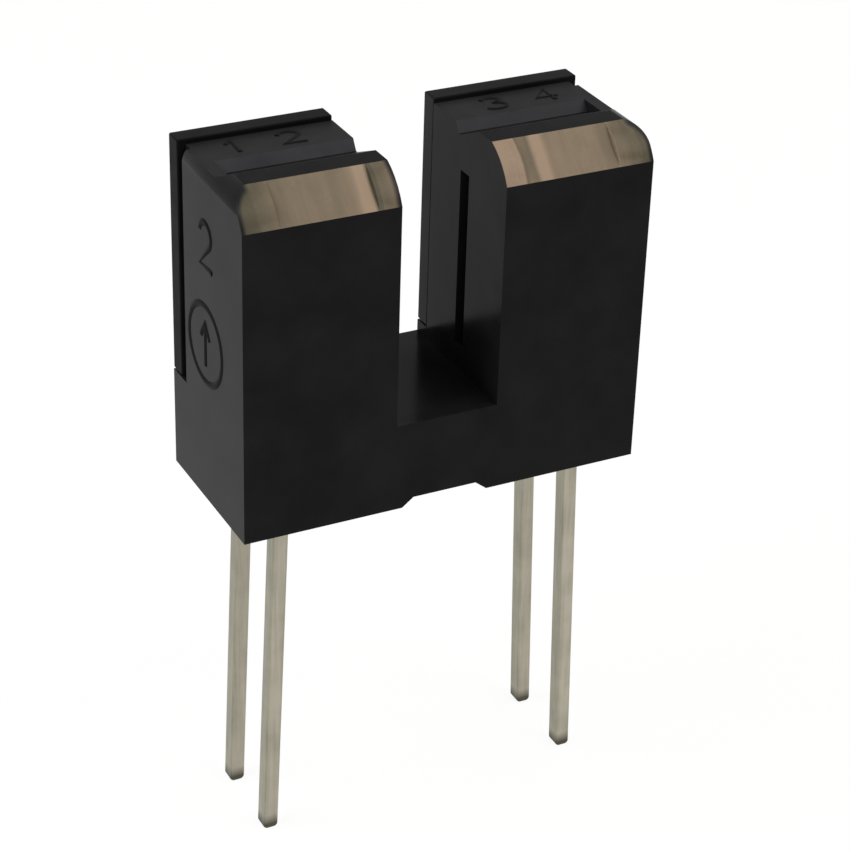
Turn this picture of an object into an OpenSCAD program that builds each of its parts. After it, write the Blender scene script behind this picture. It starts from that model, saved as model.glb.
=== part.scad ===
// Slotted optical switch: an infrared emitter and a phototransistor face each other across a slot.
// Millimetres. The origin is the middle of the four leads on the board's surface, +Z is up,
// X runs across the slot from the emitter to the detector, and the bevelled front faces -Y.

/* [Body] */
// Width across both towers
body_w = 12.2; // [11.7:0.1:13.4]
// Depth from the front face to the back of the lids
body_d = 5; // [4.8:0.1:5.6]
// Height of the flat tower tops above the board
tower_h = 10; // [9.7:0.1:10.6]
// Width of the slot between the towers
slot_w = 3.1; // [2.7:0.1:3.4]
// Height of the slot floor above the board
slot_floor_h = 2.65; // [2:0.05:2.95]
// Wall in front of each cavity
front_wall = 0.7; // [0.6:0.05:0.8]
// Wall between the slot and each cavity
slot_wall = 0.75; // [0.6:0.05:0.85]

/* [Tower tops] */
// Radius of the towers' outer top corners
shoulder_r = 0.55; // [0.3:0.05:0.7]
// Rise of the front ridge above the tower top
ridge_rise = 0.2; // [0.15:0.05:0.35]
// Depth of the ridge's flat top
ridge_d = 0.7; // [0.5:0.05:0.8]
// Depth of the slope from the ridge down to the tower top
ridge_slope_d = 0.45; // [0.3:0.05:0.5]
// Drop of the groove behind the ridge below the tower top
groove_drop = 0.3; // [0.1:0.05:0.4]
// Depth of the groove's floor
groove_d = 0.08; // [0.04:0.02:0.3]
// Run of the groove's rear wall up to the tower top
groove_run = 0.2; // [0.1:0.05:0.3]
// Distance of the groove's closed end from the side of the body
groove_inset = 0.5; // [0.3:0.05:1]
// Depth of the front bevel
bevel_d = 0.95; // [0.7:0.05:1.1]
// Drop of the front bevel below the ridge
bevel_drop = 0.95; // [0.7:0.05:1.1]
// Width of the rounded cheek at the slot end of a bevel
slot_cheek_w = 0.65; // [0.4:0.05:1]
// Width of the rounded cheek at the outer end of a bevel
side_cheek_w = 1.05; // [0.6:0.05:1.4]
// Radius of the cheeks' profile
cheek_r = 1.9; // [1.6:0.05:3]

/* [Underside] */
// Height of the relief under the slot
relief_h = 0.27; // [0.15:0.01:0.5]
// Width of the relief at its ceiling
relief_w = 1.95; // [1.5:0.05:2.4]
// Run of each sloped end of the relief
relief_run = 0.35; // [0.2:0.05:0.5]

/* [Rear lids] */
// Thickness of the lid plates
lid_t = 0.6; // [0.5:0.05:0.7]
// Height of the lids' lip above the tower tops
lid_lip = 0.15; // [0.1:0.05:0.3]
// Reach of the lids below the cavity floor
lid_lap = 0.2; // [0.1:0.05:0.2]
// Width of the rebate beside the lid, along the side of the body
seam_d = 0.35; // [0.2:0.05:0.5]
// Depth of the rebate beside the lid
seam_inset = 0.25; // [0.1:0.05:0.3]

/* [Apertures] */
// Width of the slit in front of the detector
detector_slit_w = 0.5; // [0.3:0.05:1]
// Width of the window in front of the emitter
emitter_window_w = 1; // [0.5:0.05:1.6]
// Height of the apertures' lower end
aperture_bottom_h = 3.4; // [3.3:0.05:5]
// Height of the apertures' upper end
aperture_top_h = 8.7; // [7.8:0.05:8.8]

/* [Leads] */
// Distance between the emitter's and the detector's lead rows
lead_row = 9.2; // [9.1:0.05:9.5]
// Pitch of the two leads in a row
lead_pitch = 2.54; // [2.3:0.01:2.65]
// Thickness of the lead frame
lead_t = 0.45; // [0.35:0.05:0.5]
// Width of a lead
lead_w = 0.5; // [0.4:0.05:0.55]
// Length of the leads below the board's surface
lead_l = 10.7; // [6:0.1:14]
// Outward splay of the leads below the body, in degrees
lead_splay = 1.9; // [0:0.1:4]
// Chamfer at the lead tips
tip_chamfer = 0.08; // [0.04:0.01:0.12]
// Clearance around the leads in the base
lead_gap = 0.06; // [0.03:0.01:0.1]

/* [Packages] */
// Width of a moulded package
pkg_w = 3.3; // [3.25:0.05:3.5]
// Height of a moulded package
pkg_h = 5.6; // [5.1:0.05:5.65]
// Height of the cavity floor that carries the package
pkg_seat_h = 3.2; // [3.1:0.05:3.25]
// Epoxy in front of the lead frame
front_cover = 1.05; // [0.95:0.05:1.2]
// Epoxy behind the lead frame
back_cover = 0.55; // [0.3:0.05:0.7]
// Chamfer on the package's corners
pkg_chamfer = 0.25; // [0.1:0.05:0.3]
// Radius of the lens
lens_r = 1.2; // [1.1:0.05:1.4]
// Height of the optical axis above the board
axis_h = 7; // [6.6:0.1:7.2]
// Clearance between a package or lid and the housing
fit_gap = 0.05; // [0.03:0.01:0.1]
// Clearance between the lens and the slot wall
lens_gap = 0.1; // [0.05:0.01:0.2]

/* [Chips and bond wires] */
// Side of the emitter chip
emitter_die_w = 0.35; // [0.25:0.05:0.6]
// Side of the detector chip
detector_die_w = 0.6; // [0.4:0.05:0.9]
// Thickness of the chips
die_t = 0.2; // [0.1:0.05:0.3]
// Side of the flag that carries a chip
flag_w = 1.1; // [1:0.05:1.2]
// Gap between the flag and the other lead's post
post_gap = 0.25; // [0.15:0.05:0.35]
// Height of the post that takes the bond wire
post_h = 0.5; // [0.4:0.05:0.8]
// Distance of the bond from the post's edge
bond_inset = 0.2; // [0.12:0.02:0.24]
// Diameter of the bond wires
wire_d = 0.04; // [0.03:0.01:0.06]

/* [Hidden] */
$fn = 64;

// Margin by which a cut runs past the face it opens
cut = 1;
// Sides of the body; the packages sit centred on the origin in Y
side_x = body_w / 2;
slot_x = slot_w / 2;
pkg_y = pkg_w / 2;
front_y = -(pkg_y + fit_gap + front_wall);
rear_y = front_y + body_d;
lid_y = rear_y - lid_t;
// Heights of the tower tops
ridge_h = tower_h + ridge_rise;
lid_top_h = tower_h + lid_lip;
lid_bottom_h = pkg_seat_h - lid_lap;
ceiling_h = pkg_seat_h + pkg_h + fit_gap;
// Lead plane, packages and cavities on the detector's side; the emitter's are mirrored
lead_x = lead_row / 2;
lead_face_x = lead_x - lead_t / 2;
die_face_x = lead_face_x - die_t;
pkg_front_x = lead_face_x - front_cover;
pkg_back_x = lead_x + lead_t / 2 + back_cover;
cavity_in_x = slot_x + slot_wall;
cavity_out_x = pkg_back_x + fit_gap;
lens_x = cavity_in_x + lens_gap + lens_r;
// Leads, flag and post in the plane of the lead frame
stem_y = lead_pitch / 2;
flag_top_h = axis_h + flag_w / 2;
flag_bottom_h = axis_h - flag_w / 2;
post_y = -flag_w / 2 - post_gap;
bond_y = post_y - bond_inset;
wire_r = wire_d / 2;
loop_r = -bond_y / 2;
tip_shift = lead_l * tan(lead_splay);
// Chord of the front bevel, from the front edge up to the ridge, in Y and Z
bevel_low = [front_y, ridge_h - bevel_drop];
bevel_high = [front_y + bevel_d, ridge_h];
bevel_l = norm(bevel_high - bevel_low);
bevel_out = [-bevel_drop, bevel_d] / bevel_l;
cheek_axis = (bevel_low + bevel_high) / 2 - bevel_out * sqrt(cheek_r * cheek_r - bevel_l * bevel_l / 4);
// Ridge's rear edge, foot of its slope, and the groove that carries the slope on below the tower top
ridge_end_y = bevel_high.x + ridge_d;
slope_end_y = ridge_end_y + ridge_slope_d;
groove_h = tower_h - groove_drop;
groove_y = slope_end_y + ridge_slope_d * groove_drop / ridge_rise;

// Puts what is drawn for the detector on the emitter's side
module emitter_side() {
    mirror([1, 0, 0]) children();
}

// Extrudes a YZ outline along X
module along_x(from_x, to_x) {
    translate([from_x, 0, 0])
        rotate([90, 0, 90])
            linear_extrude(to_x - from_x) children();
}

// Extrudes an XZ outline along Y
module along_y(from_y, to_y) {
    translate([0, to_y, 0])
        rotate([90, 0, 0])
            linear_extrude(to_y - from_y) children();
}

// Box between two corners
module block(low, high) {
    translate(low) cube(high - low);
}

// U-shaped front view of the body, with the relief under the slot
module body_outline() {
    right = [
        [relief_w / 2, relief_h],
        [relief_w / 2 + relief_run, 0],
        [side_x, 0],
        [side_x, ridge_h],
        [slot_x, ridge_h],
        [slot_x, slot_floor_h]
    ];
    left = [for (i = [len(right) - 1:-1:0]) [-right[i].x, right[i].y]];
    polygon(concat(right, left));
}

// Front view of what the rounding of an outer top corner takes off
module shoulder_outline() {
    translate([side_x - shoulder_r, ridge_h - shoulder_r])
        difference() {
            square(shoulder_r + cut);
            circle(r = shoulder_r);
        }
}

// Side view of everything above the bevel's chord
module above_bevel_outline() {
    run = [bevel_d, bevel_drop] / bevel_l * cut;
    polygon([bevel_low - run, bevel_high + run, bevel_high + [0, 2 * cut], bevel_low + [-cut, 2 * cut]]);
}

// Side view of what is cut away behind the ridge
module behind_ridge_outline() {
    polygon([
        [ridge_end_y, ridge_h],
        [slope_end_y, tower_h],
        [rear_y + cut, tower_h],
        [rear_y + cut, ridge_h + cut],
        [ridge_end_y, ridge_h + cut]
    ]);
}

// Side view of the groove at the foot of the ridge's slope
module groove_outline() {
    polygon([
        [slope_end_y, tower_h],
        [groove_y, groove_h],
        [groove_y + groove_d, groove_h],
        [groove_y + groove_d + groove_run, tower_h],
        [groove_y + groove_d + groove_run, tower_h + cut],
        [slope_end_y, tower_h + cut]
    ]);
}

// Rounded cheeks across both towers, and the flat bevel between them on each tower
module bevel_cuts() {
    difference() {
        along_x(-side_x - cut, side_x + cut) above_bevel_outline();
        translate([-side_x - 2 * cut, cheek_axis.x, cheek_axis.y])
            rotate([0, 90, 0])
                cylinder(r = cheek_r, h = body_w + 4 * cut);
    }
    for (side = [0, 1])
        mirror([side, 0, 0])
            along_x(slot_x + slot_cheek_w, side_x - side_cheek_w) above_bevel_outline();
}

// Cavity, lead slot, aperture and lid rebate of the detector's tower
module tower_cuts(aperture_w) {
    block([cavity_in_x, -pkg_y - fit_gap, pkg_seat_h], [cavity_out_x, lid_y + cut, ceiling_h]);
    block(
        [lead_face_x - lead_gap, -stem_y - lead_w / 2 - lead_gap, -cut],
        [lead_x + lead_t / 2 + lead_gap, rear_y + cut, pkg_seat_h + fit_gap]
    );
    block(
        [slot_x - cut, -aperture_w / 2, aperture_bottom_h],
        [cavity_in_x + fit_gap, aperture_w / 2, aperture_top_h]
    );
    block([side_x - seam_inset, lid_y - seam_d, lid_bottom_h], [side_x + cut, lid_y + cut, ridge_h + cut]);
}

// Black moulding that carries everything
module housing() {
    color("#1d1d1f")
        difference() {
            along_y(front_y, rear_y) body_outline();
            for (side = [0, 1])
                mirror([side, 0, 0])
                    along_y(front_y - cut, rear_y + cut) shoulder_outline();
            along_x(-side_x - cut, side_x + cut) behind_ridge_outline();
            along_x(groove_inset - side_x, side_x - groove_inset) groove_outline();
            bevel_cuts();
            block([-side_x - cut, lid_y, lid_bottom_h], [side_x + cut, rear_y + cut, ridge_h + cut]);
            tower_cuts(detector_slit_w);
            emitter_side() tower_cuts(emitter_window_w);
        }
}

// Plate behind a tower, with a plug that reaches into the cavity as far as the package
module rear_lid() {
    color("#242427")
        difference() {
            union() {
                block([slot_x, lid_y, lid_bottom_h + fit_gap], [side_x, rear_y, lid_top_h]);
                block(
                    [cavity_in_x + fit_gap, 0, pkg_seat_h + fit_gap],
                    [cavity_out_x - fit_gap, lid_y, ceiling_h - fit_gap]
                );
            }
            block([cavity_in_x, -cut, pkg_seat_h], [cavity_out_x, pkg_y + fit_gap, ceiling_h]);
        }
}

// Straight lead up to the bend at the body, then splayed outward to its tip
module lead_stem(y, top_h) {
    block([lead_face_x, y - lead_w / 2, 0], [lead_x + lead_t / 2, y + lead_w / 2, top_h]);
    along_y(y - lead_w / 2, y + lead_w / 2)
        translate([lead_face_x, 0])
            polygon([
                [0, 0],
                [lead_t, 0],
                [lead_t + tip_shift, -lead_l + tip_chamfer],
                [lead_t + tip_shift - tip_chamfer, -lead_l],
                [tip_shift + tip_chamfer, -lead_l],
                [tip_shift, -lead_l + tip_chamfer]
            ]);
}

// Lead with the flag that carries the chip
module flag_lead() {
    color("#b8b1a4") {
        lead_stem(stem_y, flag_top_h);
        block([lead_face_x, -flag_w / 2, flag_bottom_h], [lead_x + lead_t / 2, stem_y, flag_top_h]);
    }
}

// Lead with the post that takes the bond wire
module post_lead() {
    color("#b8b1a4") {
        lead_stem(-stem_y, axis_h + post_h / 2);
        block(
            [lead_face_x, -stem_y, axis_h - post_h / 2],
            [lead_x + lead_t / 2, post_y, axis_h + post_h / 2]
        );
    }
}

// Chip on the flag's face, towards the slot
module die(width) {
    color("#3c4048")
        block([die_face_x, -width / 2, axis_h - width / 2], [lead_face_x, width / 2, axis_h + width / 2]);
}

// Looped wire from the chip to the post
module bond_wire() {
    color("#d4a72c") {
        translate([die_face_x, -loop_r, axis_h])
            rotate([0, 0, 90])
                rotate_extrude(angle = 180)
                    translate([loop_r, 0]) circle(r = wire_r);
        translate([die_face_x, bond_y, axis_h])
            rotate([0, 90, 0])
                cylinder(r = wire_r, h = die_t);
    }
}

// Moulded body with a lens towards the slot, shaped around the lead frame, chip and wire
module package(tint, die_w) {
    color(tint)
        difference() {
            union() {
                translate([0, 0, pkg_seat_h])
                    linear_extrude(pkg_h)
                        polygon([
                            [pkg_front_x, pkg_chamfer - pkg_y],
                            [pkg_front_x + pkg_chamfer, -pkg_y],
                            [pkg_back_x, -pkg_y],
                            [pkg_back_x, pkg_y],
                            [pkg_front_x + pkg_chamfer, pkg_y],
                            [pkg_front_x, pkg_y - pkg_chamfer]
                        ]);
                translate([lens_x, 0, axis_h]) sphere(r = lens_r);
            }
            flag_lead();
            post_lead();
            die(die_w);
            bond_wire();
        }
}

module emitter_rear_lid() {
    emitter_side() rear_lid();
}

module detector_rear_lid() {
    rear_lid();
}

module emitter_package() {
    emitter_side() package("#cfc3cc", emitter_die_w);
}

module detector_package() {
    package("#2b2030", detector_die_w);
}

module emitter_anode_lead() {
    emitter_side() post_lead();
}

module emitter_cathode_lead() {
    emitter_side() flag_lead();
}

module detector_collector_lead() {
    flag_lead();
}

module detector_emitter_lead() {
    post_lead();
}

module emitter_die() {
    emitter_side() die(emitter_die_w);
}

module detector_die() {
    die(detector_die_w);
}

module emitter_bond_wire() {
    emitter_side() bond_wire();
}

module detector_bond_wire() {
    bond_wire();
}

housing();
emitter_rear_lid();
detector_rear_lid();
emitter_package();
detector_package();
emitter_anode_lead();
emitter_cathode_lead();
detector_collector_lead();
detector_emitter_lead();
emitter_die();
detector_die();
emitter_bond_wire();
detector_bond_wire();
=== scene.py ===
"""Looks of the slotted optical switch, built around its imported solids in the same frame."""

import math
from collections import namedtuple

import bmesh
import bpy
from mathutils import Matrix, Vector


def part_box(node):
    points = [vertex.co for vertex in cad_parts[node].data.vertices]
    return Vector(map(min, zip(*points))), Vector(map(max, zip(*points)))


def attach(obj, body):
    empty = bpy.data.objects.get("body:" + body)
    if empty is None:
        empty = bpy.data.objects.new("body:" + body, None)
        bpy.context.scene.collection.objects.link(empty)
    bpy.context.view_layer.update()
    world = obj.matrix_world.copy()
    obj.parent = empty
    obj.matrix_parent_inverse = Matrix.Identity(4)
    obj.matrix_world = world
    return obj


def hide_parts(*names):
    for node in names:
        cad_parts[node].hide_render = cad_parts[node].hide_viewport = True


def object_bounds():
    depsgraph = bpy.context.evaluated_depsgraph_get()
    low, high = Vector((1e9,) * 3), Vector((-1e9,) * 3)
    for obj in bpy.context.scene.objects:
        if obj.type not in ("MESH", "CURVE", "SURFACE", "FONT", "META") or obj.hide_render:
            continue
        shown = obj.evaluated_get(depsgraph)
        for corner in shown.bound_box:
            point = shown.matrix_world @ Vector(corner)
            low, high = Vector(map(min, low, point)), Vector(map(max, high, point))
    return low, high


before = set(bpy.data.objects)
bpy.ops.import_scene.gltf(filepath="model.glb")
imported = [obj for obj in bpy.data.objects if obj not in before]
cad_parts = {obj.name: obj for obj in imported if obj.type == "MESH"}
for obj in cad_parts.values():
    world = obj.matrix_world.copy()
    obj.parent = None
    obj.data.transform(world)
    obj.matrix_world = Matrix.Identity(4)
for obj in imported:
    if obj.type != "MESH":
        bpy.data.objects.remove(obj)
cad_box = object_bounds()

# Blender works in metres, and lengths are written here as millimetres times MM
MM = 0.001

# Places on the body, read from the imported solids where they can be
housing_low, housing_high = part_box("housing")
lid_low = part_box("detector_rear_lid")[0]
SIDE_X = housing_high.x
FRONT_Y = housing_low.y
RIDGE_Z = housing_high.z
SLOT_X = lid_low.x
LEAD_TIP_Z = cad_box[0].z
TOWER_TOP_Z = 10.0 * MM

# Front bevels: their drop, the radius of the outer corners and the steps between a bevel and its cheeks
BEVEL_DROP = 0.95 * MM
SHOULDER_RADIUS = 0.55 * MM
SLOT_STEP_X = SLOT_X + 0.65 * MM
SIDE_STEP_X = SIDE_X - 1.05 * MM

# Radii of the moulding's and the leads' edges, with the flat steps that make up each rounding
MOULD_RADIUS = 0.05 * MM
LEAD_RADIUS = 0.06 * MM
EDGE_STEPS = 4

# From this angle an edge that sticks out is rounded, and an edge that is left is shaded sharp
EDGE_ANGLE = math.radians(20)

# Faces that meet at less than this angle are one flat face
FLAT_ANGLE = math.radians(0.5)

# Points closer than this are one
WELD = 0.0005 * MM

# Limits on a face's normal by which the housing's faces are told apart
STEP_LEAST_X = 0.9
SLOPE_LEAST = 0.3
TOP_MOST_X = 0.1
TOP_LEAST_Z = 0.8
GROOVE_LEAST_Y = 0.5

# Finishes of the housing's and the lids' faces, in the order of their material slots
HOUSING_FINISHES = ("housing_black", "bevel_tan_painted_sheen", "lid_black", "painted_lit_black", "top_black")
LID_FINISHES = ("lid_black", "housing_black")

# A finish varies between a dark and a light colour, both linear, and between two roughnesses
Finish = namedtuple("Finish", "dark light specular smooth rough")
MOULDINGS = {
    "housing_black": Finish((0.008, 0.008, 0.0088, 1), (0.012, 0.012, 0.0132, 1), 0.03, 0.16, 0.24),
    "lid_black": Finish((0.006, 0.006, 0.0064, 1), (0.009, 0.009, 0.0096, 1), 0.01, 0.3, 0.4),
    # Groove walls: the same black painted lighter, a painted highlight where they face the light
    "painted_lit_black": Finish((0.03, 0.032, 0.038, 1), (0.042, 0.0445, 0.052, 1), 0.03, 0.3, 0.4),
    "top_black": Finish((0.0125, 0.0125, 0.0135, 1), (0.0175, 0.0175, 0.019, 1), 0.015, 0.35, 0.45),
}
# Front bevels' tan: partly a tan tint, partly a painted reflection of the warm lamp
TAN_AND_PAINTED_SHEEN = Finish((0.066, 0.061, 0.041, 1), (0.265, 0.2, 0.146, 1), 0.12, 0.22, 0.34)
CLEAR_EPOXY = Finish((0.84, 0.77, 0.81, 1), (0.9, 0.85, 0.88, 1), 0.5, 0.05, 0.14)
FILTER_EPOXY = Finish((0.006, 0.003, 0.008, 1), (0.012, 0.006, 0.016, 1), 0.5, 0.08, 0.18)
GOLD = ((0.72, 0.5, 0.14, 1), (0.86, 0.65, 0.24, 1))
WHITE = (1, 1, 1, 1)

# Tone of the bevels, from 0 for dark to 1 for light: what the mottling adds or takes away
MOTTLE_TONE = 0.12

# Painted light on the bevels: a band down the bevels changes the tone by so much within full of its middle,
# and by nothing past its reach; light bands are painted highlights, dark bands painted shade by the steps,
# on the left tower and towards the outer ends
Band = namedtuple("Band", "middle full reach change")
PAINTED_BEVEL_BANDS = (
    Band(0, 2.3 * MM, 3.0 * MM, 0.4),
    Band(0, 4.5 * MM, SIDE_X, 0.5),
    Band(-SIDE_X, 3.5 * MM, 3.7 * MM, -0.1),
    Band(-SLOT_X - 0.32 * MM, 0.25 * MM, 0.36 * MM, -0.68),
    Band(-SLOT_STEP_X, 0.03 * MM, 0.14 * MM, -0.8),
    Band(-SLOT_STEP_X - 0.24 * MM, 0.05 * MM, 0.3 * MM, 0.45),
    Band(SLOT_STEP_X, 0, 0.06 * MM, -0.5),
    Band(SLOT_STEP_X + 0.2 * MM, 0.13 * MM, 0.25 * MM, -0.55),
    Band(SLOT_STEP_X + 0.62 * MM, 0.1 * MM, 0.28 * MM, 0.4),
    Band(SIDE_STEP_X, 0, 0.03 * MM, 0.45),
)

# Painted shade: a black rim of the left tower's bevel, along the slot
SLOT_RIM_SHADE = Band(-SLOT_X, 0.06 * MM, 0.18 * MM, 1)

# Painted shade along the rounded outer edges, a black rim: how far inside the edge it starts and from where
# it is full
RIM_START = 0.16 * MM
RIM_FULL = 0.06 * MM

# Width over which that rim comes in where the rounding starts
RIM_COMES_IN = 0.15 * MM

# Tin on the leads: colours of the front and of the sides, the sides darker as painted shade, and the dark
# end above each tip
TIN_FRONT = ((0.33, 0.305, 0.245, 1), (0.455, 0.42, 0.34, 1))
TIN_SHADED_SIDE = ((0.24, 0.23, 0.175, 1), (0.355, 0.34, 0.265, 1))
TIN_TIP = (0.08, 0.075, 0.055, 1)
TIN_ROUGHNESS = (0.36, 0.52)
TIP_DARK_TO = 0.16 * MM
TIP_ENDS_AT = 0.5 * MM

# Raised marks: how far a stroke stands proud, and the steps of its section, a digit's arc and the ring
STROKE_RISE = 0.035 * MM
STROKE_STEPS = 3
DIGIT_STEPS = 14
RING_STEPS = 48

# Faces with marks: their directions, seen from outside, and the width of their strokes
MarkedFace = namedtuple("MarkedFace", "right up stroke")
TOP_FACE = MarkedFace(Vector((1, 0, 0)), Vector((0, 1, 0)), 0.18 * MM)
LEFT_FACE = MarkedFace(Vector((0, -1, 0)), Vector((0, 0, 1)), 0.24 * MM)

# Places of the marks' middles and their sizes, right and up
PIN_NUMBERS_X = {1: -4.7 * MM, 2: -3.1 * MM, 3: 3.1 * MM, 4: 4.7 * MM}
PIN_NUMBERS_Y = 1.35 * MM
PIN_NUMBER_SIZE = (0.7 * MM, 0.75 * MM)
DIAL_PLACE = (-SIDE_X, 0.2 * MM, 4.9 * MM)
RING_SIZE = (2.3 * MM, 2.3 * MM)
ARROW_SIZE = (1.0 * MM, 1.3 * MM)
CAVITY_NUMBER = 2
CAVITY_NUMBER_PLACE = (-SIDE_X, 0.1 * MM, 7.9 * MM)
CAVITY_NUMBER_SIZE = (0.9 * MM, 1.3 * MM)

# Floor: half its width, its paint, and the share of white glow that it has where it is seen
FLOOR_HALF = 600 * MM
FLOOR_PAINT = (0.95, 0.95, 0.95, 1)
FLOOR_GLOW = 0.92

# Strength of the surroundings as a light, against 1 where they are seen
WORLD_LIGHT = 0.42

# Lamps: the direction they stand in, seen from the bevels, and their distance, size, radiance and colour
Lamp = namedtuple("Lamp", "direction distance size radiance colour")
LAMPS = {
    "soft_key": Lamp((-0.75, 0.1, 0.65), 150 * MM, 120 * MM, 4.0, (1.0, 1.0, 1.0)),
    "warm_front": Lamp((0.4, -0.49, 0.77), 150 * MM, 90 * MM, 4.0, (1.0, 0.84, 0.66)),
    "side_fill": Lamp((0.87, 0.2, 0.45), 400 * MM, 390 * MM, 1.5, (1.0, 1.0, 1.0)),
}

# Camera: the lens and the sensor's width are in Blender's own millimetres
CAMERA_LENS = 107.25
CAMERA_SENSOR = 36
CAMERA_CLIP_START = 1 * MM
CAMERA_CLIP_END = 10000 * MM
CAMERA_PLACE = Vector((-28.745, -56.363, 36.692)) * MM
CAMERA_RIGHT = Vector((0.89395, -0.44731, 0.02761))
CAMERA_UP = Vector((0.19778, 0.44905, 0.87134))


# Node helpers
def add_node(tree, kind, inputs=None, **settings):
    """A node with its settings, and with its inputs linked to sockets or set to values."""
    made = tree.nodes.new(kind)
    for name, value in settings.items():
        setattr(made, name, value)
    for name, value in (inputs or {}).items():
        if isinstance(value, bpy.types.NodeSocket):
            tree.links.new(value, made.inputs[name])
        else:
            made.inputs[name].default_value = value
    return made


def new_material(name, shader_inputs):
    """A principled material, its tree and its shader."""
    made = bpy.data.materials.new(name)
    made.use_nodes = True
    tree = made.node_tree
    tree.nodes.clear()
    shader = add_node(tree, "ShaderNodeBsdfPrincipled", shader_inputs)
    add_node(tree, "ShaderNodeOutputMaterial", {"Surface": shader.outputs["BSDF"]})
    return made, tree, shader


def millimetres(tree, stretch=(1, 1, 1)):
    """The surface point in millimetres, with each axis multiplied by its stretch."""
    place = add_node(tree, "ShaderNodeTexCoord").outputs["Object"]
    scale = tuple(share / MM for share in stretch)
    return add_node(tree, "ShaderNodeMapping", {"Vector": place, "Scale": scale}).outputs["Vector"]


def along(tree, vector, axis):
    """One component of a vector."""
    return add_node(tree, "ShaderNodeSeparateXYZ", {"Vector": vector}).outputs[axis]


def reckon(tree, operation, first, second=0.0):
    """The result of a math operation on one or two values."""
    return add_node(tree, "ShaderNodeMath", {0: first, 1: second}, operation=operation).outputs["Value"]


def total(tree, first, second):
    """The sum of two values."""
    return reckon(tree, "ADD", first, second)


def unsigned(tree, value):
    """A value without its sign."""
    return reckon(tree, "ABSOLUTE", value)


def beyond(tree, place, start):
    """How far a place in millimetres is past a start in metres, and 0 before it."""
    return reckon(tree, "MAXIMUM", total(tree, place, -start / MM))


def spread(tree, value, low, high, to_low, to_high):
    """A value mapped from one range to another and held at the ends."""
    inputs = {"Value": value, "From Min": low, "From Max": high, "To Min": to_low, "To Max": to_high}
    return add_node(tree, "ShaderNodeMapRange", inputs).outputs["Result"]


def clamped(tree, value):
    """A value held between 0 and 1."""
    return spread(tree, value, 0, 1, 0, 1)


def fade(tree, place, start, end, at_start, at_end):
    """A value that changes as a place in millimetres goes from a start to an end, both in metres."""
    return spread(tree, place, start / MM, end / MM, at_start, at_end)


def in_band(tree, place, band):
    """The change that a band makes at a place in millimetres."""
    from_middle = unsigned(tree, total(tree, place, -band.middle / MM))
    return fade(tree, from_middle, band.full, band.reach, band.change, 0)


def noise(tree, place, cells, detail=3.0):
    """Noise from 0 to 1 with so many cells per millimetre."""
    inputs = {"Vector": place, "Scale": cells, "Detail": detail, "Roughness": 0.55}
    return add_node(tree, "ShaderNodeTexNoise", inputs).outputs["Fac"]


def uneven(tree, pattern, low, high, middle=0.5, swing=0.2):
    """A noise mapped to a range; most of the noise lies within a swing of its middle."""
    return spread(tree, pattern, middle - swing, middle + swing, low, high)


def blend(tree, factor, first, second):
    """The first colour where the factor is 0, the second where it is 1."""
    inputs = {"Fac": factor, "Color1": first, "Color2": second}
    return add_node(tree, "ShaderNodeMixRGB", inputs).outputs["Color"]


def link_bump(tree, shader, height, distance, strength):
    """Raises the shader's surface by the height."""
    bump = add_node(tree, "ShaderNodeBump", {"Height": height, "Distance": distance, "Strength": strength})
    tree.links.new(bump.outputs["Normal"], shader.inputs["Normal"])


# Materials
def moulded_black(name, finish):
    """Black moulding compound: faint cloudiness, fine grain and uneven gloss."""
    made, tree, shader = new_material(name, {"Specular IOR Level": finish.specular})
    place = millimetres(tree)
    cloud = uneven(tree, noise(tree, place, cells=0.7), 0, 1)
    tree.links.new(blend(tree, cloud, finish.dark, finish.light), shader.inputs["Base Color"])
    gloss = uneven(tree, noise(tree, place, cells=1.6), finish.smooth, finish.rough)
    tree.links.new(gloss, shader.inputs["Roughness"])
    grain = noise(tree, place, cells=14, detail=2)
    link_bump(tree, shader, grain, distance=0.004 * MM, strength=0.25)
    return made


def outer_rim_shade(tree, from_middle, height):
    """Painted shade: 1 along the rounded outer edge of a tower's front, fading to 0 inside it."""
    past_x = beyond(tree, from_middle, SIDE_X - SHOULDER_RADIUS)
    past_z = beyond(tree, height, RIDGE_Z - SHOULDER_RADIUS)
    squares = total(tree, reckon(tree, "POWER", past_x, 2), reckon(tree, "POWER", past_z, 2))
    from_centre = reckon(tree, "SQRT", squares)
    at_edge = fade(tree, from_centre, SHOULDER_RADIUS - RIM_START, SHOULDER_RADIUS - RIM_FULL, 0, 1)
    return reckon(tree, "MULTIPLY", at_edge, fade(tree, past_x, 0, RIM_COMES_IN, 0, 1))


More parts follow.
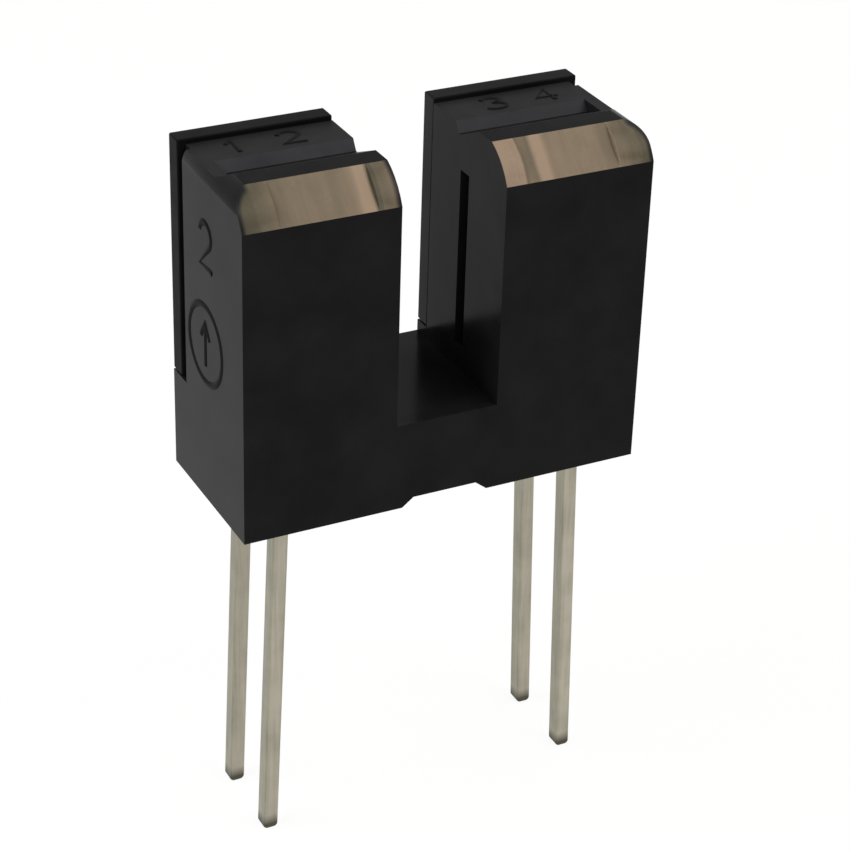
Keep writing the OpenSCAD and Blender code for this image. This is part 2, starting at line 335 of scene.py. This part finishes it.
def tan_with_painted_sheen():
    """Warm tan of the front bevels, partly a tan tint and partly a painted reflection of the warm lamp:
    mottled and stroked down the slope, with painted highlight and shade bands and a black rim of painted
    shade.
    """
    made, tree, shader = new_material("bevel_tan_painted_sheen", {"Specular IOR Level": TAN_AND_PAINTED_SHEEN.specular})
    place = millimetres(tree)
    strokes = noise(tree, millimetres(tree, stretch=(5, 0.4, 0.4)), cells=1, detail=4)
    mottle = noise(tree, place, cells=1.3, detail=4)
    tone = uneven(tree, total(tree, strokes, mottle), -MOTTLE_TONE, MOTTLE_TONE, middle=1, swing=0.3)
    across = along(tree, place, "X")
    # The bands add painted highlights and painted shade across the bevels
    for band in PAINTED_BEVEL_BANDS:
        tone = total(tree, tone, in_band(tree, across, band))
    tan_and_painted_sheen = blend(tree, clamped(tree, tone), TAN_AND_PAINTED_SHEEN.dark, TAN_AND_PAINTED_SHEEN.light)
    # Painted shade along the rounded outer edges and the left tower's slot edge
    rim = outer_rim_shade(tree, unsigned(tree, across), along(tree, place, "Z"))
    rim = total(tree, rim, in_band(tree, across, SLOT_RIM_SHADE))
    rimmed = blend(tree, rim, tan_and_painted_sheen, MOULDINGS["housing_black"].dark)
    tree.links.new(rimmed, shader.inputs["Base Color"])
    tree.links.new(uneven(tree, mottle, TAN_AND_PAINTED_SHEEN.smooth, TAN_AND_PAINTED_SHEEN.rough), shader.inputs["Roughness"])
    link_bump(tree, shader, strokes, distance=0.006 * MM, strength=0.2)
    return made


def tinned_lead():
    """Dull tin plating: drawn lengthwise, with painted shade on the side faces, and darker towards each tip.
    """
    made, tree, shader = new_material("tinned_lead", {"Metallic": 1.0})
    place = millimetres(tree)
    streaks = noise(tree, millimetres(tree, stretch=(9, 9, 0.35)), cells=1, detail=4)
    cloud = noise(tree, place, cells=1.1)
    tone = uneven(tree, total(tree, streaks, cloud), 0, 1, middle=1, swing=0.25)
    normal = add_node(tree, "ShaderNodeNewGeometry").outputs["Normal"]
    # Painted shade: faces turned sideways get the darker tin
    side_facing = unsigned(tree, along(tree, normal, "X"))
    tin = blend(tree, side_facing, blend(tree, tone, *TIN_FRONT), blend(tree, tone, *TIN_SHADED_SIDE))
    height = along(tree, place, "Z")
    near_tip = fade(tree, height, LEAD_TIP_Z + TIP_DARK_TO, LEAD_TIP_Z + TIP_ENDS_AT, 1, 0)
    tree.links.new(blend(tree, near_tip, tin, TIN_TIP), shader.inputs["Base Color"])
    tree.links.new(uneven(tree, cloud, *TIN_ROUGHNESS), shader.inputs["Roughness"])
    link_bump(tree, shader, streaks, distance=0.006 * MM, strength=0.3)
    return made


def moulded_epoxy(name, finish, shader_inputs):
    """Epoxy with a faintly uneven tint and haze."""
    made, tree, shader = new_material(name, {"Specular IOR Level": finish.specular, **shader_inputs})
    cloud = noise(tree, millimetres(tree), cells=0.8)
    tree.links.new(blend(tree, cloud, finish.dark, finish.light), shader.inputs["Base Color"])
    tree.links.new(uneven(tree, cloud, finish.smooth, finish.rough), shader.inputs["Roughness"])
    return made


def clear_epoxy():
    """Water-clear moulding with a faint pink tint."""
    return moulded_epoxy("clear_epoxy", CLEAR_EPOXY, {"Transmission Weight": 0.9, "IOR": 1.54})


def filter_epoxy():
    """Near-black violet moulding that passes infrared light only."""
    return moulded_epoxy("filter_epoxy", FILTER_EPOXY, {})


def semiconductor():
    """Polished chip with a fine grid of cells."""
    made, tree, shader = new_material("chip", {"Metallic": 0.5, "Roughness": 0.25})
    cells = add_node(tree, "ShaderNodeTexBrick", {
        "Vector": millimetres(tree),
        "Scale": 6.0,
        "Mortar Size": 0.03,
        "Color1": (0.09, 0.1, 0.13, 1),
        "Color2": (0.12, 0.13, 0.16, 1),
        "Mortar": (0.3, 0.28, 0.2, 1),
    }, offset=0.0)
    tree.links.new(cells.outputs["Color"], shader.inputs["Base Color"])
    return made


def drawn_gold():
    """Gold wire with a faintly uneven tone."""
    made, tree, shader = new_material("bond_gold", {"Metallic": 1.0, "Roughness": 0.28})
    tone = noise(tree, millimetres(tree), cells=9)
    tree.links.new(blend(tree, tone, *GOLD), shader.inputs["Base Color"])
    return made


# Pieces
def welded_copy(node):
    """A copy of a CAD node's mesh, welded, with the triangles of each flat face joined."""
    form = bmesh.new()
    form.from_mesh(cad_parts[node].data)
    bmesh.ops.remove_doubles(form, verts=form.verts, dist=WELD)
    bmesh.ops.dissolve_limit(form, angle_limit=FLAT_ANGLE, verts=form.verts, edges=form.edges)
    return form


def outer_corners(form, left_sharp=()):
    """Edges that stick out, apart from those of faces left sharp."""
    corners = [edge for edge in form.edges if edge.is_convex and edge.calc_face_angle(0) > EDGE_ANGLE]
    return [edge for edge in corners if not any(face in left_sharp for face in edge.link_faces)]


def round_edges(form, edges, radius):
    """Rounds the edges, and welds what runs together at the corners."""
    bmesh.ops.bevel(form, geom=edges, offset=radius, offset_type="OFFSET", segments=EDGE_STEPS, profile=0.5,
                    affect="EDGES", clamp_overlap=True, material=-1)
    bmesh.ops.remove_doubles(form, verts=form.verts, dist=WELD)
    bmesh.ops.dissolve_degenerate(form, edges=form.edges, dist=WELD)


def show(form, name, node, slot, *materials):
    """The form as a smooth piece, sharp at its corners, that stands for its CAD node."""
    for face in form.faces:
        face.smooth = True
    for edge in form.edges:
        edge.smooth = edge.calc_face_angle(0) < EDGE_ANGLE
    mesh = bpy.data.meshes.new(name)
    form.to_mesh(mesh)
    form.free()
    for made in materials:
        mesh.materials.append(made)
    piece = bpy.data.objects.new(name, mesh)
    bpy.context.scene.collection.objects.link(piece)
    piece.modifiers.new("even_normals", "WEIGHTED_NORMAL").keep_sharp = True
    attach(piece, "root")
    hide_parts(node)


def is_step(face):
    """Whether a face of the housing is one of the small steps between a bevel and its cheeks."""
    middle = face.calc_center_median()
    in_bevel = middle.z > RIDGE_Z - BEVEL_DROP and middle.y < FRONT_Y + BEVEL_DROP
    inside_tower = SLOT_X + MOULD_RADIUS < abs(middle.x) < SIDE_X - MOULD_RADIUS
    return in_bevel and inside_tower and abs(face.normal.x) > STEP_LEAST_X


def housing_finish(face):
    """The name of a face's finish: bevels with their steps, ridges, tops and groove walls have their own;
    the bevels' tan is partly a painted reflection, and the groove walls' lighter black is a painted
    highlight.
    """
    middle = face.calc_center_median()
    normal = face.normal
    if middle.y < FRONT_Y + BEVEL_DROP:
        high = middle.z > RIDGE_Z - BEVEL_DROP
        sloped = normal.z > SLOPE_LEAST and normal.y < -SLOPE_LEAST
        # Bevels and their steps get a tan that is partly a painted reflection
        return "bevel_tan_painted_sheen" if high and sloped or is_step(face) else "housing_black"
    level = abs(normal.x) < TOP_MOST_X and normal.z > TOP_LEAST_Z
    if level and middle.z > TOWER_TOP_Z - MOULD_RADIUS:
        return "lid_black" if middle.z > TOWER_TOP_Z + MOULD_RADIUS else "top_black"
    groove_wall = normal.y < -GROOVE_LEAST_Y and normal.z > SLOPE_LEAST
    # Groove walls get the black painted lighter, a painted highlight
    return "painted_lit_black" if groove_wall else "housing_black"


def make_housing(looks):
    """The moulded body, with warm bevels and cheeks whose tan is partly a painted reflection, matt ridges
    and tops, and groove walls painted lighter as a painted highlight.
    """
    form = welded_copy("housing")
    for face in form.faces:
        face.material_index = HOUSING_FINISHES.index(housing_finish(face))
    steps = [face for face in form.faces if is_step(face)]
    round_edges(form, outer_corners(form, steps), MOULD_RADIUS)
    materials = [looks[finish] for finish in HOUSING_FINISHES]
    show(form, "housing_body", "housing", "housing_black", *materials)


def make_lid(side, looks):
    """The plate behind a tower, with the housing's own black towards the slot."""
    form = welded_copy(f"{side}_rear_lid")
    for face in form.faces:
        beside_slot = abs(face.calc_center_median().x) < SLOT_X + MOULD_RADIUS
        finish = "housing_black" if beside_slot else "lid_black"
        face.material_index = LID_FINISHES.index(finish)
    round_edges(form, outer_corners(form), MOULD_RADIUS)
    materials = [looks[finish] for finish in LID_FINISHES]
    show(form, f"{side}_lid_plate", f"{side}_rear_lid", "lid_black", *materials)


def make_lead(lead, material):
    """A lead with rounded edges."""
    form = welded_copy(f"{lead}_lead")
    round_edges(form, outer_corners(form), LEAD_RADIUS)
    show(form, f"{lead}_pin", f"{lead}_lead", "tinned_lead", material)


def arc(middle, radii, start, end, steps):
    """Points along an ellipse from one angle to another, in degrees."""
    points = []
    for step in range(steps + 1):
        turn = math.radians(start + (end - start) * step / steps)
        points.append((middle[0] + radii[0] * math.cos(turn), middle[1] + radii[1] * math.sin(turn)))
    return points


# Strokes of the marks, in a box one unit wide and one high; the ring is closed without its last point
DIGIT_STROKES = {
    1: [[(0.22, 0.76), (0.5, 1), (0.5, 0)]],
    2: [arc((0.5, 0.71), (0.43, 0.29), 165, -35, DIGIT_STEPS) + [(0.05, 0), (0.98, 0)]],
    3: [
        arc((0.47, 0.77), (0.4, 0.23), 155, -90, DIGIT_STEPS),
        arc((0.47, 0.27), (0.47, 0.27), 80, -155, DIGIT_STEPS),
    ],
    4: [[(0.72, 0), (0.72, 1), (0.05, 0.32), (0.98, 0.32)]],
}
RING_STROKES = [arc((0.5, 0.5), (0.5, 0.5), 0, 360, RING_STEPS)[:-1]]
ARROW_STROKES = [[(0.5, 0), (0.5, 1)], [(0.2, 0.65), (0.5, 1), (0.8, 0.65)]]


def make_mark(name, strokes, face, place, size, material, closed=False):
    """Strokes as low rounded lines on a face, each the top of a round bar sunk into it."""
    curve = bpy.data.curves.new(name, "CURVE")
    curve.dimensions = "3D"
    radius = (face.stroke ** 2 / 4 + STROKE_RISE ** 2) / (2 * STROKE_RISE)
    curve.bevel_depth = radius
    curve.bevel_resolution = STROKE_STEPS
    curve.use_fill_caps = True
    sunk = Vector(place) - face.right.cross(face.up) * (radius - STROKE_RISE)
    for points in strokes:
        line = curve.splines.new("POLY")
        line.points.add(len(points) - 1)
        line.use_cyclic_u = closed
        for point, (x, y) in zip(line.points, points):
            spot = sunk + face.right * (x - 0.5) * size[0] + face.up * (y - 0.5) * size[1]
            point.co = (*spot, 1)
    curve.materials.append(material)
    piece = bpy.data.objects.new(name, curve)
    bpy.context.scene.collection.objects.link(piece)
    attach(piece, "root")


def make_marks(material):
    """Pin numbers on the tower tops, and a plain moulder's dial with a number on the left side."""
    for number, x in PIN_NUMBERS_X.items():
        place = (x, PIN_NUMBERS_Y, TOWER_TOP_Z)
        make_mark(f"pin_number_{number}", DIGIT_STROKES[number], TOP_FACE, place, PIN_NUMBER_SIZE, material)
    make_mark("dial_ring", RING_STROKES, LEFT_FACE, DIAL_PLACE, RING_SIZE, material, closed=True)
    make_mark("dial_arrow", ARROW_STROKES, LEFT_FACE, DIAL_PLACE, ARROW_SIZE, material)
    make_mark("cavity_number", DIGIT_STROKES[CAVITY_NUMBER], LEFT_FACE, CAVITY_NUMBER_PLACE,
              CAVITY_NUMBER_SIZE, material)


def dress_inner_pieces():
    """The packages, chips and wires keep their CAD meshes and get materials."""
    chip = semiconductor()
    gold = drawn_gold()
    inner = {
        "emitter_package": clear_epoxy(),
        "detector_package": filter_epoxy(),
        "emitter_die": chip,
        "detector_die": chip,
        "emitter_bond_wire": gold,
        "detector_bond_wire": gold,
    }
    for node, made in inner.items():
        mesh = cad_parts[node].data
        mesh.materials.clear()
        mesh.materials.append(made)


def make_part():
    """Every piece of the part, with its material."""
    looks = {name: moulded_black(name, finish) for name, finish in MOULDINGS.items()}
    # The bevels' tan is partly a painted reflection of the warm lamp
    looks["bevel_tan_painted_sheen"] = tan_with_painted_sheen()
    make_housing(looks)
    make_marks(looks["lid_black"])
    for side in ("emitter", "detector"):
        make_lid(side, looks)
    tin = tinned_lead()
    for lead in ("emitter_anode", "emitter_cathode", "detector_collector", "detector_emitter"):
        make_lead(lead, tin)
    dress_inner_pieces()


# Stage
def seen_directly(tree):
    """1 for rays that show the backdrop itself, 0 for those that carry its light."""
    path = add_node(tree, "ShaderNodeLightPath").outputs
    direct = total(tree, path["Is Camera Ray"], path["Is Glossy Ray"])
    return clamped(tree, total(tree, direct, path["Is Transmission Ray"]))


def make_floor():
    """White floor that keeps a faint shadow."""
    mesh = bpy.data.meshes.new("floor")
    corners = [(x * FLOOR_HALF, y * FLOOR_HALF, 0) for x, y in ((-1, -1), (1, -1), (1, 1), (-1, 1))]
    mesh.from_pydata(corners, [], [(0, 1, 2, 3)])
    floor = bpy.data.objects.new("floor", mesh)
    floor.location.z = LEAD_TIP_Z
    bpy.context.scene.collection.objects.link(floor)
    made = bpy.data.materials.new("floor_white")
    made.use_nodes = True
    tree = made.node_tree
    tree.nodes.clear()
    paint = add_node(tree, "ShaderNodeBsdfDiffuse", {"Color": FLOOR_PAINT}).outputs["BSDF"]
    glow = add_node(tree, "ShaderNodeEmission", {"Color": WHITE, "Strength": 1.0}).outputs["Emission"]
    share = spread(tree, seen_directly(tree), 0, 1, 0, FLOOR_GLOW)
    mix = add_node(tree, "ShaderNodeMixShader", {0: share, 1: paint, 2: glow})
    add_node(tree, "ShaderNodeOutputMaterial", {"Surface": mix.outputs["Shader"]})
    mesh.materials.append(made)


def make_world():
    """White surroundings, dimmer as a light than they look."""
    world = bpy.data.worlds.new("surroundings")
    world.use_nodes = True
    tree = world.node_tree
    tree.nodes.clear()
    strength = spread(tree, seen_directly(tree), 0, 1, WORLD_LIGHT, 1)
    back = add_node(tree, "ShaderNodeBackground", {"Color": WHITE, "Strength": strength})
    add_node(tree, "ShaderNodeOutputWorld", {"Surface": back.outputs["Background"]})
    bpy.context.scene.world = world


def make_lamp(name, facts):
    """A square soft lamp that looks at the bevels and doesn't show in the picture."""
    lamp = bpy.data.lights.new(name, "AREA")
    lamp.shape = "SQUARE"
    lamp.size = facts.size
    lamp.energy = facts.radiance * math.pi * facts.size ** 2
    lamp.color = facts.colour
    holder = bpy.data.objects.new(name, lamp)
    bpy.context.scene.collection.objects.link(holder)
    aim = Vector(facts.direction).normalized()
    holder.location = Vector((0, FRONT_Y, RIDGE_Z)) + aim * facts.distance
    holder.rotation_euler = (-aim).to_track_quat("-Z", "Y").to_euler()
    holder.visible_camera = False


def make_camera():
    """Camera at the photograph's viewing angle."""
    camera = bpy.data.cameras.new("camera")
    camera.sensor_fit = "HORIZONTAL"
    camera.sensor_width = CAMERA_SENSOR
    camera.lens = CAMERA_LENS
    camera.clip_start = CAMERA_CLIP_START
    camera.clip_end = CAMERA_CLIP_END
    holder = bpy.data.objects.new("camera", camera)
    bpy.context.scene.collection.objects.link(holder)
    back = CAMERA_RIGHT.cross(CAMERA_UP)
    turn = Matrix((CAMERA_RIGHT, CAMERA_UP, back)).transposed().to_4x4()
    holder.matrix_world = Matrix.Translation(CAMERA_PLACE) @ turn
    bpy.context.scene.camera = holder


make_part()
make_floor()
make_world()
for lamp_name, lamp_facts in LAMPS.items():
    make_lamp(lamp_name, lamp_facts)
make_camera()
bpy.context.scene.view_settings.view_transform = "Standard"
